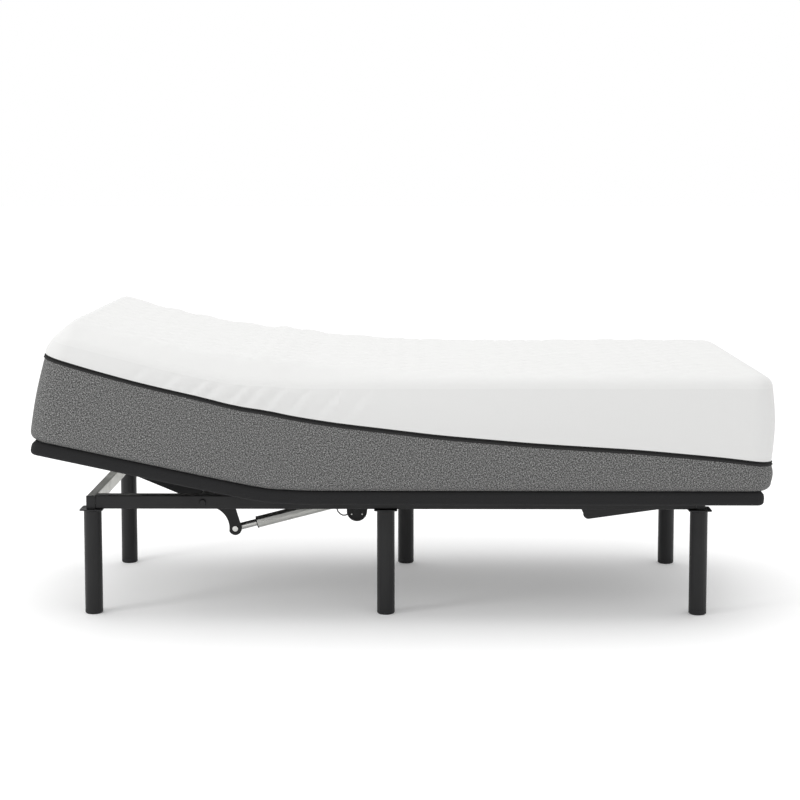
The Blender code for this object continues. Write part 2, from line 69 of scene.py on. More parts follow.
# the piping: how high it runs above the mattress' underside, at distances from the head end
PIPING_RUN = (
    (0.00, 0.234), (0.12, 0.225), (0.24, 0.222), (0.46, 0.226), (0.60, 0.217), (0.74, 0.203), (0.87, 0.183),
    (1.00, 0.168), (1.14, 0.151), (1.41, 0.128), (1.69, 0.111), (1.93, 0.089), (2.05, 0.073),
)
PIPING_WIDTH = 0.013
PIPING_BULGE = (0, 0.0022, 0.0030, 0.0022, 0.0002, 0.0016, 0.0022, 0.0014, 0)  # two cords, from below

TOP_EDGE = 0.029
CROWN = 0.010  # the top is this much higher along its middle
# and this much more where the foam is squeezed by the bend, at places along the bed
TOP_RISE = (
    (-1.02, 0.035), (-0.88, 0.029), (-0.78, 0.031), (-0.68, 0.034), (-0.58, 0.036), (-0.47, 0.035),
    (-0.35, 0.033), (-0.24, 0.025), (-0.10, 0.012), (0.02, 0.004), (0.15, 0.0), (1.04, 0.0),
)
BOTTOM_EDGE = 0.022
END_LEAN = 0.018  # the head end slopes in by this much at its top

# slanted folds in the cover's upper side, over the head hinge: where they meet the top, and how deep
CREASES = (
    (-0.69, 0.5), (-0.60, 0.7), (-0.52, 1.0), (-0.47, 0.6), (-0.40, 1.0), (-0.345, 0.7), (-0.28, 0.9),
    (-0.20, 0.8), (-0.11, 0.6), (-0.03, 0.4),
)
CREASE_DEPTH = 0.0050
CREASE_REACH = 0.016

QUILT_LENGTH = 0.130
QUILT_WIDTH = 0.075
QUILT_DEPTH = 0.0075

FRAME_HALF_WIDTH = 0.332
END_TUBE_X = 0.855
RAIL_BOTTOM = 0.3013
RAIL_TOP = 0.3393
RAIL_Y = 0.313
LEG_RADIUS = 0.025
LEG_TOP = 0.298  # the underside of a leg's plate
END_LEG_X = 0.8535
MID_LEG_X = 0.027
SIDES = {"right": -1, "left": 1}
LEGS = (
    ("head_right", -END_LEG_X, -1), ("head_left", -END_LEG_X, 1),
    ("mid_right", -MID_LEG_X, -1), ("mid_left", MID_LEG_X, 1),
    ("foot_right", END_LEG_X, -1), ("foot_left", END_LEG_X, 1),
)

# pins and axles at rest, as places (x, z) that the part also has
HEAD_PIN = (-0.482, 0.178)
HEAD_TAIL = (-0.064, 0.286)
THIGH_PIN = (0.0667, 0.2468)
THIGH_TAIL = (-0.290, 0.283)
MOTOR_HALF_LENGTH = 0.0482
HEAD_LIFT_AXLE = (-0.541, 0.320)
HEAD_ARM = 0.279
HEAD_ARM_UP = math.radians(18.9)
THIGH_ROLLER = (0.280, 0.320)
LINK_AXLE = (0.546, 0.2805)
LINK_LENGTH = 0.240
LINK_UP = math.radians(8)

FLOOR_HALF = 40
CAMERA_AT = (0.0332, -5.1716, 1.2859)
CAMERA_TURN = (90 - 5.327, 0, 0.422)
CAMERA_LENS = 78.78
CAMERA_SHIFT = -0.10

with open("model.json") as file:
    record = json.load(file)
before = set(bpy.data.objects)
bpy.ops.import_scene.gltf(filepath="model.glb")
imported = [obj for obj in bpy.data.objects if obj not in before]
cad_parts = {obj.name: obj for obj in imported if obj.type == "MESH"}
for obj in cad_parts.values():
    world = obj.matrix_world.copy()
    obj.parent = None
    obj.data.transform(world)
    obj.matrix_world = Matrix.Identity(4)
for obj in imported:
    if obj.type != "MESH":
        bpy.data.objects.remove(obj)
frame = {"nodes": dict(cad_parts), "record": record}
NODES = frame["nodes"]


def measured(objects):
    """The lowest and highest corners of some meshes, in world space."""
    bpy.context.view_layer.update()
    corners = np.array([o.matrix_world @ v.co for o in objects for v in o.data.vertices])
    return corners.min(0).tolist(), corners.max(0).tolist()


CAD_BOX = measured(NODES.values())


# ---------------------------------------------------------------- materials
def shader_of(name, colour, roughness, metallic=0.0):
    made = bpy.data.materials.new(name)
    made.use_nodes = True
    shader = made.node_tree.nodes["Principled BSDF"]
    shader.inputs["Base Color"].default_value = (*colour, 1)
    shader.inputs["Roughness"].default_value = roughness
    shader.inputs["Metallic"].default_value = metallic
    return made, shader


def noise(material, place, stretch, scale, detail=3.0, rough=0.6):
    """Noise read at a texture place ("UV" or "Object"), stretched by so much along each axis."""
    nodes, links = material.node_tree.nodes, material.node_tree.links
    where = nodes.new("ShaderNodeTexCoord")
    mapping = nodes.new("ShaderNodeMapping")
    mapping.inputs["Scale"].default_value = stretch
    links.new(where.outputs[place], mapping.inputs["Vector"])
    made = nodes.new("ShaderNodeTexNoise")
    made.inputs["Scale"].default_value = scale
    made.inputs["Detail"].default_value = detail
    made.inputs["Roughness"].default_value = rough
    links.new(mapping.outputs["Vector"], made.inputs["Vector"])
    return made.outputs["Fac"]


def ramp(material, value, stops):
    """Turns a value into a colour; stops are (place, grey or colour)."""
    nodes, links = material.node_tree.nodes, material.node_tree.links
    made = nodes.new("ShaderNodeValToRGB")
    band = made.color_ramp
    while len(band.elements) < len(stops):
        band.elements.new(0.5)
    for element, (where, colour) in zip(band.elements, stops):
        element.position = where
        element.color = (*colour, 1) if isinstance(colour, tuple) else (colour, colour, colour, 1)
    links.new(value, made.inputs["Fac"])
    return made.outputs["Color"]


def bump(material, shader, height, strength, distance):
    nodes, links = material.node_tree.nodes, material.node_tree.links
    made = nodes.new("ShaderNodeBump")
    made.inputs["Strength"].default_value = strength
    made.inputs["Distance"].default_value = distance
    links.new(height, made.inputs["Height"])
    links.new(made.outputs["Normal"], shader.inputs["Normal"])


def sum_of(material, a, b):
    made = material.node_tree.nodes.new("ShaderNodeMath")
    material.node_tree.links.new(a, made.inputs[0])
    material.node_tree.links.new(b, made.inputs[1])
    return made.outputs["Value"]


def woven(material, pitch):
    """Two sets of threads that cross, this far apart."""
    nodes, links = material.node_tree.nodes, material.node_tree.links
    where = nodes.new("ShaderNodeTexCoord")
    sets = []
    for direction in ("X", "Y"):
        made = nodes.new("ShaderNodeTexWave")
        made.bands_direction = direction
        made.inputs["Scale"].default_value = 0.314 / pitch
        made.inputs["Distortion"].default_value = 0.8
        made.inputs["Detail"].default_value = 1.0
        links.new(where.outputs["UV"], made.inputs["Vector"])
        sets.append(made.outputs["Fac"])
    return sum_of(material, sets[0], sets[1])


def coated(name, colour, roughness, grain, depth, metallic=0.0, stretch=(1, 1, 1), spread=0.08):
    """A painted, plated or moulded finish: fine grain in the surface, and a little in its shine."""
    made, shader = shader_of(name, colour, roughness, metallic)
    shader.inputs["Specular IOR Level"].default_value = 0.30
    bump(made, shader, noise(made, "Object", stretch, grain), 0.5, depth)
    patches = noise(made, "Object", stretch, 14.0, 4.0)
    shine = ramp(made, patches, [(0.3, roughness - spread), (0.7, roughness + spread)])
    made.node_tree.links.new(shine, shader.inputs["Roughness"])
    return made


def heather():
    """Salt-and-pepper knit: light and dark yarns mixed along both ways of the cloth."""
    made, shader = shader_of("heather_border", (0.15, 0.15, 0.148), 0.95)
    across = noise(made, "UV", (1.0, 1.9, 1), 250.0, 3.0, 0.75)
    down = noise(made, "UV", (1.9, 1.0, 1), 235.0, 3.0, 0.75)
    mixed = sum_of(made, across, down)
    dark, middle, light = (0.013, 0.013, 0.013), (0.080, 0.080, 0.079), (0.34, 0.34, 0.335)
    half = made.node_tree.nodes.new("ShaderNodeMath")
    half.operation = "MULTIPLY"
    half.inputs[1].default_value = 0.5
    made.node_tree.links.new(mixed, half.inputs[0])
    colour = ramp(made, half.outputs["Value"], [(0.41, dark), (0.50, middle), (0.59, light)])
    made.node_tree.links.new(colour, shader.inputs["Base Color"])
    bump(made, shader, mixed, 0.5, 0.0012)
    shader.inputs["Sheen Weight"].default_value = 0.03
    return made


def knit(name, colour):
    """White stretch knit with fine ribs."""
    made, shader = shader_of(name, colour, 0.9)
    ribs = woven(made, 0.0022)
    loose = noise(made, "UV", (1, 3, 1), 90.0, 4.0)
    bump(made, shader, sum_of(made, ribs, loose), 0.35, 0.0007)
    shader.inputs["Sheen Weight"].default_value = 0.03
    return made


def cloth(name, colour, pitch):
    """Plain woven black cloth."""
    made, shader = shader_of(name, colour, 0.88)
    weave = woven(made, pitch)
    bump(made, shader, sum_of(made, weave, noise(made, "UV", (1, 1, 1), 260.0)), 0.5, 0.0008)
    lighter = tuple(2.0 * c for c in colour)
    tone = ramp(made, noise(made, "UV", (1, 1, 1), 420.0, 2.0), [(0.3, colour), (0.75, lighter)])
    made.node_tree.links.new(tone, shader.inputs["Base Color"])
    shader.inputs["Specular IOR Level"].default_value = 0.25
    shader.inputs["Sheen Weight"].default_value = 0.02
    return made


BLACK_STEEL = coated("black_powder_coat", (0.009, 0.009, 0.0095), 0.42, 900.0, 0.0003)
ZINC = coated("zinc_plate", (0.44, 0.44, 0.41), 0.42, 300.0, 0.0002, 0.75, spread=0.10)
BARE_STEEL = coated("ground_steel", (0.60, 0.60, 0.58), 0.26, 500.0, 0.0001, 1.0, (1, 6, 6))
ALUMINIUM = coated("satin_extrusion", (0.66, 0.66, 0.63), 0.30, 260.0, 0.0001, 1.0, (0.1, 6, 6))
BLACK_PLASTIC = coated("moulded_plastic", (0.010, 0.010, 0.0105), 0.48, 1300.0, 0.0003)
GLIDE = coated("glide_plastic", (0.012, 0.012, 0.013), 0.55, 600.0, 0.0003)
ROLLER = coated("turned_nylon", (0.045, 0.045, 0.047), 0.38, 700.0, 0.0001)
DECK_CLOTH = cloth("deck_cloth", (0.010, 0.010, 0.0105), 0.0016)
KNIT_TOP = knit("quilted_knit", (0.680, 0.680, 0.673))
# painted shade: the side is the same knit as the quilted top, given a slightly darker colour to offset the
# key lamp that lights the side
KNIT_SIDE_PAINTED_SHADE = knit("side_knit_painted_shade", (0.655, 0.655, 0.649))
HEATHER = heather()
PIPING_DARK = cloth("piping_black", (0.006, 0.006, 0.006), 0.0008)
PIPING_GREY = cloth("piping_grey", (0.016, 0.016, 0.016), 0.0008)
UNDERSIDE = cloth("underside_cloth", (0.10, 0.10, 0.10), 0.002)
OF_SLOT = {
    "black_steel": BLACK_STEEL,
    "zinc_steel": ZINC,
    "bare_steel": BARE_STEEL,
    "aluminium": ALUMINIUM,
    "black_plastic": BLACK_PLASTIC,
    "glide_plastic": GLIDE,
    "roller_plastic": ROLLER,
    "deck_fabric": DECK_CLOTH,
    "mattress_fabric": KNIT_SIDE_PAINTED_SHADE,
}


def dress(node, finish, edge):
    """Gives a CAD node its finish and softens its edges."""
    node.data.materials.clear()
    node.data.materials.append(finish)
    node.data.shade_smooth()
    node.data.set_sharp_from_angle(angle=math.radians(32))
    if edge:
        bevel = node.modifiers.new("soft_edges", "BEVEL")
        bevel.width = edge
        bevel.segments = 2
        bevel.limit_method = "ANGLE"
        bevel.angle_limit = math.radians(32)
        bevel.harden_normals = True


for subpart in frame["record"]["subparts"]:
    soft = subpart["material_slot"] in ("deck_fabric", "mattress_fabric")
    plain = soft or subpart["node"] == "head_motor_lead"
    dress(NODES[subpart["node"]], OF_SLOT[subpart["material_slot"]], 0 if plain else 0.0007)


# ---------------------------------------------------------------- soft shells, drawn lying flat
def eased(t, easing=0.15):
    """From 0 to 1 with an even slope between two short bends."""
    t = np.clip(t, 0, 1)
    top = 2 * easing * (1 - easing)
    return np.where(
        t < easing,
        t * t / top,
        np.where(t > 1 - easing, 1 - (1 - t) ** 2 / top, (t - easing / 2) / (1 - easing)),
    )


def grid_lines(low, high, edge, step, through=()):
    """Lines across a shell: close together near its two rounded edges, then evenly spaced."""
    angles = np.radians([0, 15, 30, 45, 60, 75, 90])
    near = edge * (1 - np.cos(angles))
    stops = sorted([low + edge, *through, high - edge])
    middle = []
    for a, b in zip(stops, stops[1:]):
        middle += list(np.linspace(a, b, max(2, round((b - a) / step) + 1))[:-1])
    return np.array([*(low + near[:-1]), *middle, *(high - near[::-1])])


def unrolled(lines, edge):
    """The same lines measured along the cloth, which also runs round the two rounded edges."""
    low, high = lines[0] + edge, lines[-1] - edge
    inner = np.clip(lines, low, high)
    return inner + np.sign(lines - inner) * edge * np.arcsin(np.clip(np.abs(lines - inner) / edge, 0, 1))


class Shell:
    """A closed soft block lying flat: a top, a bottom and a wall that runs round it."""

    def __init__(self, ends, half_width, xs, ys, corner):
        self.middle = (ends[0] + ends[1]) / 2
        self.half = np.array([(ends[1] - ends[0]) / 2, half_width])
        self.corner = corner
        self.xs, self.ys = xs, ys
        self.points, self.faces, self.uvs, self.kinds = [], [], [], []
        nx, ny = len(xs), len(ys)
        self.border = [(i, 0) for i in range(nx - 1)] + [(nx - 1, j) for j in range(ny - 1)]
        self.border += [(i, ny - 1) for i in range(nx - 1, 0, -1)]
        self.border += [(0, j) for j in range(ny - 1, 0, -1)]

    def plan(self, x, y):
        """Where a grid point lies once the corners are rounded, and how far it is from the edge."""
        p = np.array([x - self.middle, y])
        inner = self.half - self.corner
        over = (np.abs(p) - inner) / self.corner
        if over.min() <= 0:
            return p, float((self.half - np.abs(p)).min())
        reach = over.max()
        p = np.sign(p) * (inner + self.corner * reach * over / np.linalg.norm(over))
        return p, float(self.corner * (1 - reach))

    def face(self, loop, uvs, kind):
        self.faces.append(loop)
        self.uvs.append(uvs)
        self.kinds.append(kind)

    def wall(self, rows):
        """rows is a function of x that gives (height, outward, kind) from the bottom up."""
        plans = [self.plan(self.xs[i], self.ys[j])[0] for i, j in self.border]
        count = len(plans)
        steps = [math.dist(plans[k], plans[(k + 1) % count]) for k in range(count)]
        run = np.concatenate([[0], np.cumsum(steps)])
        start = len(self.points)
        profiles = []
        for k, p in enumerate(plans):
            tangent = plans[(k + 1) % count] - plans[k - 1]
            out = np.array([tangent[1], -tangent[0]]) / np.linalg.norm(tangent)
            profile = rows(p[0] + self.middle)
            profiles.append(profile)
            for height, push, _ in profile:
                q = p + push * out
                self.points.append((q[0] + self.middle, q[1], height))
        depth = len(profiles[0])
        for k in range(count):
            here, there = start + k * depth, start + (k + 1) % count * depth
            for r in range(depth - 1):
                low, high = profiles[k][r][0], profiles[k][r + 1][0]
                uvs = ((run[k], low), (run[k + 1], low), (run[k + 1], high), (run[k], high))
                self.face((here + r, there + r, there + r + 1, here + r + 1), uvs, profiles[k][r][2])
        self.low_ring = [start + k * depth for k in range(count)]
        self.high_ring = [start + k * depth + depth - 1 for k in range(count)]

    def lid(self, height_at, ring, kind, upwards, edge, rim_kind):
        """The top or the bottom; its border is a ring of the wall's points.

        Its rounded edge can have another finish than its middle.
        """
        cloth_xs, cloth_ys = unrolled(self.xs, edge), unrolled(self.ys, edge)
        at = dict(zip(self.border, ring))
        for i, x in enumerate(self.xs):
            for j, y in enumerate(self.ys):
                if (i, j) not in at:
                    p, inwards = self.plan(x, y)
                    place = p[0] + self.middle
                    at[i, j] = len(self.points)
                    self.points.append((place, p[1], height_at(place, p[1], inwards)))
        for i in range(len(self.xs) - 1):
            for j in range(len(self.ys) - 1):
                corners = [(i, j), (i + 1, j), (i + 1, j + 1), (i, j + 1)]
                if not upwards:
                    corners.reverse()
                uvs = [(cloth_xs[a], cloth_ys[b]) for a, b in corners]
                centre = ((self.xs[i] + self.xs[i + 1]) / 2, (self.ys[j] + self.ys[j + 1]) / 2)
                inwards = self.plan(*centre)[1]
                self.face(tuple(at[c] for c in corners), uvs, rim_kind if inwards < edge else kind)

    def stretch(self, name, low, high, finishes):
        """The part of the shell between two x, as an object of its own, still lying flat."""
        points = np.array(self.points)
        chosen = [k for k, f in enumerate(self.faces) if low < points[list(f), 0].mean() < high]
        used = sorted({v for k in chosen for v in self.faces[k]})
        index = {v: n for n, v in enumerate(used)}
        mesh = bpy.data.meshes.new(name)
        faces = [[index[v] for v in self.faces[k]] for k in chosen]
        mesh.from_pydata(points[used].tolist(), [], faces)
        layer = mesh.uv_layers.new(name="flat_cloth")
        uvs = np.array([uv for k in chosen for uv in self.uvs[k]], np.float32)
        layer.data.foreach_set("uv", uvs.ravel())
        for finish in finishes:
            mesh.materials.append(finish)
        mesh.polygons.foreach_set("material_index", [self.kinds[k] for k in chosen])
        mesh.shade_smooth()
        made = bpy.data.objects.new(name, mesh)
        bpy.context.scene.collection.objects.link(made)
        return made


def fan_weight(k, along, height):
    """How far a point has gone over from the first body at a hinge (0) to the second (1)."""
    first, last = np.radians(FANS[k])
    return eased((np.arctan2(along, height + FAN_DEPTH) - first) / (last - first))


def bend(made, k, height=None):
    """Lays a flat stretch over the deck's hinge k, head end raised as at rest.

    The bend is worked out at each point's own height, or at one height if it is given.
    """
    bodies, hinge_x = HINGES[k]
    flat = np.array([v.co for v in made.data.vertices])
    along = flat[:, 0] - hinge_x
    weight = fan_weight(k, along, flat[:, 2] if height is None else height)
    raised = HEAD_RAISED * (1 - weight) if k == 0 else 0 * weight
    cushion = CUSHION * np.exp(-(((along + 0.02) / CUSHION_REACH) ** 2)) if k == 0 else 0
    up = flat[:, 2] + cushion
    placed = flat.copy()
    placed[:, 0] = hinge_x + BED_SHIFT + along * np.cos(raised) + up * np.sin(raised)
    placed[:, 2] = HINGE_Z - along * np.sin(raised) + up * np.cos(raised)
    made.data.vertices.foreach_set("co", placed.astype(np.float32).ravel())
    made.data.update()
    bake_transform(made)


HINGES = (
    (("head_section", "base_frame"), HEAD_HINGE_X),
    (("base_frame", "thigh_section"), THIGH_HINGE_X),
    (("thigh_section", "foot_section"), KNEE_X),
)


# ---------------------------------------------------------------- the mattress
def smooth_run(points, reach):
    """The places and heights of a line through some points, with its corners smoothed off."""
    places = np.arange(points[0][0] - 0.3, points[-1][0] + 0.3, 0.005)
    line = np.interp(places, *np.array(points).T)
    window = np.hanning(2 * round(reach / 0.005) + 1)
    padded = np.pad(line, len(window) // 2, mode="edge")
    return places, np.convolve(padded, window / window.sum(), mode="valid")


PIPING_LINE = smooth_run(PIPING_RUN, 0.105)


def piping_height(x):
    """How high above the hinge axes the middle of the piping runs, at a place along the bed."""
    return MATTRESS_LOW + float(np.interp(x - MATTRESS_ENDS[0], *PIPING_LINE))


RISE_LINE = smooth_run(TOP_RISE, 0.10)


# places in the mattress' list of finishes
TOP_KIND, SIDE_KIND, HEATHER_KIND, GREY_KIND, DARK_KIND, UNDER_KIND = range(6)


def creases(x, height):
    """Each fold is a ridge beside a valley."""
    total = 0
    for at, depth in CREASES:
        across = (x - 0.85 * (height - MATTRESS_HIGH) - at) / CREASE_REACH
        total += CREASE_DEPTH * depth * 2.33 * across * math.exp(-(across**2))
    return total


def head_end_lean(x, height):
    """How far a point of the flat mattress is pulled in from its head end."""
    pipe = piping_height(x)
    up = eased((height - pipe) / (MATTRESS_HIGH - pipe), 0.3)
    near = eased((MATTRESS_ENDS[0] + 0.14 - x) / 0.14, 0.3)
    return END_LEAN * float(up * near)


def mattress_rows(x):
    low, high = MATTRESS_LOW + BOTTOM_EDGE, MATTRESS_HIGH - TOP_EDGE
    pipe = piping_height(x)
    below, above = pipe - PIPING_WIDTH / 2, pipe + PIPING_WIDTH / 2
    rows = []
    for t in np.linspace(0, 1, 12)[:-1]:
        rows.append((low + (below - low) * t, 0.004 * math.sin(math.pi * t), HEATHER_KIND))
    last = len(PIPING_BULGE) - 1
    for k, push in enumerate(PIPING_BULGE):
        kind = GREY_KIND if k < 4 else DARK_KIND
        rows.append((below + PIPING_WIDTH * k / last, push, SIDE_KIND if k == last else kind))
    for t in np.linspace(0, 1, 14)[1:]:
        height = above + (high - above) * t
        fade = math.sin(math.pi * t)
        swell = 0.0075 * fade * min(1, (high - above) / 0.12)
        rows.append((height, swell + math.sqrt(max(0, fade)) * creases(x, height), SIDE_KIND))
    return rows


def rounding(edge, inwards):
    """How far a rounded edge drops below its flat, this far in from the rim."""
    return edge - math.sqrt(max(0.0, edge**2 - max(0.0, edge - inwards) ** 2))


def quilting(x, y):
    """0 on the stitched lines, which weave across each other, and 1 on the pads between them."""
    sway = 0.16 * math.sin(2 * math.pi * x / 0.37)
    a = math.sin(math.pi * (x / QUILT_LENGTH + y / QUILT_WIDTH + sway))
    b = math.sin(math.pi * (x / QUILT_LENGTH - y / QUILT_WIDTH + sway))
    return math.sqrt(abs(a * b))


def mattress_top(x, y, inwards):
    inner = min(1.0, max(0.0, (inwards - 0.012) / 0.05))
    pads = QUILT_DEPTH * (quilting(x, y) - 0.6) * inner
    lumps = 0.0016 * math.sin(9 * x + 2 * math.sin(5 * y)) * math.cos(11 * y + 3 * x) * inner
    rise = CROWN + float(np.interp(x, *RISE_LINE))
    rise *= float(eased(inwards / 0.065, 0.4))
    return MATTRESS_HIGH - rounding(TOP_EDGE, inwards) + pads + lumps + rise


def mattress_bottom(x, y, inwards):
    return MATTRESS_LOW + rounding(BOTTOM_EDGE, inwards)


def mattress():
    step = 0.011
    xs = grid_lines(*MATTRESS_ENDS, TOP_EDGE, step, MATTRESS_SPLITS)
    ys = grid_lines(-MATTRESS_HALF_WIDTH, MATTRESS_HALF_WIDTH, TOP_EDGE, step)
    shell = Shell(MATTRESS_ENDS, MATTRESS_HALF_WIDTH, xs, ys, 0.060)
    shell.wall(mattress_rows)
    shell.lid(mattress_top, shell.high_ring, TOP_KIND, True, TOP_EDGE, TOP_KIND)
    shell.lid(mattress_bottom, shell.low_ring, UNDER_KIND, False, BOTTOM_EDGE, HEATHER_KIND)
    shell.points = [(x + head_end_lean(x, height), y, height) for x, y, height in shell.points]
    finishes = (KNIT_TOP, KNIT_SIDE_PAINTED_SHADE, HEATHER, PIPING_GREY, PIPING_DARK, UNDERSIDE)
    cuts = (-9, *MATTRESS_SPLITS, 9)
    stands_for = (("mattress_head", "mattress_seat"), ("mattress_thigh",), ("mattress_foot",))
    names = ("mattress_head_stretch", "mattress_middle_stretch", "mattress_foot_stretch")
    for k in range(len(HINGES)):
        made = shell.stretch(names[k], cuts[k], cuts[k + 1], finishes)
        bend(made, k)
        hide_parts(*stands_for[k])


mattress()


# ---------------------------------------------------------------- the deck's cover
def deck_rows(x):
    half = DECK_HALF_T - DECK_EDGE
    return [(-half, 0, 0), (0, 0.0006, 0), (half, 0, 0)]


def deck_top(x, y, inwards):
    return DECK_HALF_T - rounding(DECK_EDGE, inwards)


def deck_bottom(x, y, inwards):
    return -deck_top(x, y, inwards)


def deck_cover():
    xs = grid_lines(*DECK_ENDS, DECK_EDGE, 0.0075, DECK_SPLITS)
    ys = grid_lines(-DECK_HALF_WIDTH, DECK_HALF_WIDTH, DECK_EDGE, 0.04)
    shell = Shell(DECK_ENDS, DECK_HALF_WIDTH, xs, ys, 0.020)
    shell.wall(deck_rows)
    shell.lid(deck_top, shell.high_ring, 0, True, DECK_EDGE, 0)
    shell.lid(deck_bottom, shell.low_ring, 0, False, DECK_EDGE, 0)
    cuts = (-9, *DECK_SPLITS, 9)
    stands_for = (("head_panel", "seat_panel"), ("thigh_panel",), ("foot_panel",))
    names = ("deck_head_stretch", "deck_middle_stretch", "deck_foot_stretch")
    for k in range(len(HINGES)):
        made = shell.stretch(names[k], cuts[k], cuts[k + 1], (DECK_CLOTH,))
        bend(made, k, MATTRESS_LOW)
        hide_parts(*stands_for[k])


deck_cover()


# ---------------------------------------------------------------- small fittings
def fitting(name, mesh, finish, body):
    """A small piece that rides on a body; its mesh is drawn in bed places."""
    made = bpy.data.objects.new(name, mesh)
    bpy.context.scene.collection.objects.link(made)
    made.location.x = BED_SHIFT
    mesh.materials.append(finish)
    mesh.shade_smooth()
    mesh.set_sharp_from_angle(angle=math.radians(32))
    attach(made, body)
    return made


def lathed(name, profile, at, axis, ring=False, steps=40):
    """Turns a profile of (radius, height) about an axis through a point (x, y, z).

    A ring's profile runs round its section and is closed; any other has flat ends.
    """
    mesh = bpy.data.meshes.new(name)
    shape = bmesh.new()
    loops = []
    for radius, height in profile:
        turns = [math.tau * k / steps for k in range(steps)]
        loops.append([shape.verts.new((radius * math.cos(t), radius * math.sin(t), height)) for t in turns])
    for a, b in zip(loops, loops[1:] + loops[:1] if ring else loops[1:]):
        for k in range(steps):
            n = (k + 1) % steps
            shape.faces.new((a[k], a[n], b[n], b[k]))
    if not ring:
        shape.faces.new(loops[0][::-1])
        shape.faces.new(loops[-1])
    bmesh.ops.recalc_face_normals(shape, faces=shape.faces)
    turn = Vector((0, 0, 1)).rotation_difference(Vector(axis)).to_matrix().to_4x4()
    shape.transform(Matrix.Translation(Vector(at)) @ turn)
    shape.to_mesh(mesh)
    shape.free()
    return mesh


def button(radius, thick, edge=0.0006):
    """The profile of a disc with an eased rim."""
    return [(radius, 0), (radius, thick - edge), (radius - edge, thick)]


def washer(hole, radius, thick, edge=0.0003):
    """The profile of a ring with eased rims."""
    rim = [(radius - edge, 0), (radius, edge), (radius, thick - edge), (radius - edge, thick)]
    return [(hole, 0), *rim, (hole, thick)]


def block(name, low, high, edge):
    """A rectangular piece with rounded edges."""
    mesh = bpy.data.meshes.new(name)
    shape = bmesh.new()
    bmesh.ops.create_cube(shape, size=1)
    for vertex in shape.verts:
        for k in range(3):
            vertex.co[k] = low[k] if vertex.co[k] < 0 else high[k]
    bmesh.ops.bevel(shape, geom=shape.edges[:], offset=edge, segments=3, profile=0.5, affect="EDGES")
    shape.to_mesh(mesh)
    shape.free()
    return mesh


def tube_caps():
    """A plastic cap in each open end of the two end cross tubes."""
    for end, x in (("head", -END_TUBE_X), ("foot", END_TUBE_X)):
        for side, sign in SIDES.items():
            outer, inner = FRAME_HALF_WIDTH + 0.0035, FRAME_HALF_WIDTH + 0.0002
            y = sorted((sign * outer, sign * inner))
            low = (x - 0.0127, y[0], RAIL_BOTTOM - 0.0002)
            high = (x + 0.0127, y[1], RAIL_TOP + 0.0002)
            cap = block(f"{end}_tube_cap_{side}", low, high, 0.0012)
            fitting(cap.name, cap, BLACK_PLASTIC, "base_frame")


def leg_tops():
    """A weld bead round each leg, under its plate."""
    r = LEG_RADIUS
    outside = [(r + 0.0014, -0.0032), (r + 0.0032, -0.0012), (r + 0.0036, -0.0002)]
    bead = [(r + 0.0002, -0.0040), *outside, (r + 0.0002, -0.0002)]
    for where, x, sign in LEGS:
        at = (x, sign * RAIL_Y, LEG_TOP)
        weld = lathed("weld_" + where, bead, at, (0, 0, 1), ring=True)
        fitting(weld.name, weld, BLACK_STEEL, "base_frame")


def screw(name, at, axis, radius, body):
    """A low round head."""
    head = lathed(name, [(radius, 0), (radius, 0.5 * radius), (0.8 * radius, 0.7 * radius)], at, axis)
    fitting(name, head, BARE_STEEL, body)


def bright(name, profile, place, y, way, body, ring=False, steps=40):
    """A plated fitting on a pin at a place (x, z), turned towards +Y or -Y."""
    mesh = lathed(name, profile, (place[0], y, place[1]), (0, way, 0), ring, steps)
    fitting(name, mesh, BARE_STEEL, body)


def drive_details(prefix, pin, tail, y, reach, can, can_radius):
    """A collar on the actuator tube's mouth, and the motor's end caps with bosses and screws."""
    body = prefix + "_drive"
    along = Vector((tail[0] - pin[0], 0, tail[1] - pin[1])).normalized()
    mouth = Vector((pin[0], y, pin[1])) + along * (reach - 0.0024)
    collar = lathed(prefix + "_tube_collar", washer(0.0112, 0.0186, 0.0022), mouth, along, ring=True)
    fitting(collar.name, collar, BLACK_PLASTIC, body)
    for way in (-1, 1):
        face = y + way * MOTOR_HALF_LENGTH
        tag = f"{prefix}_motor_{'near' if way < 0 else 'far'}"
        centre, axis = (can[0], face, can[1]), (0, way, 0)
        rim_profile = washer(can_radius - 0.0045, can_radius - 0.0005, 0.0022)
        rim = lathed(tag + "_rim", rim_profile, centre, axis, ring=True)
        fitting(rim.name, rim, BLACK_PLASTIC, body)
        boss = lathed(tag + "_boss", button(0.0110, 0.0040), centre, axis)
        fitting(boss.name, boss, BLACK_PLASTIC, body)
        for k in range(3):
            turn = math.radians(90 + 120 * k)
            at = (can[0] + 0.0180 * math.cos(turn), face, can[1] + 0.0180 * math.sin(turn))
            screw(f"{tag}_screw_{k}", at, axis, 0.0022, body)


def arm_end(axle, length, up, forwards):
    """The place (x, z) at the end of an arm that points up at an angle."""
    return (axle[0] + forwards * length * math.cos(up), axle[1] + length * math.sin(up))


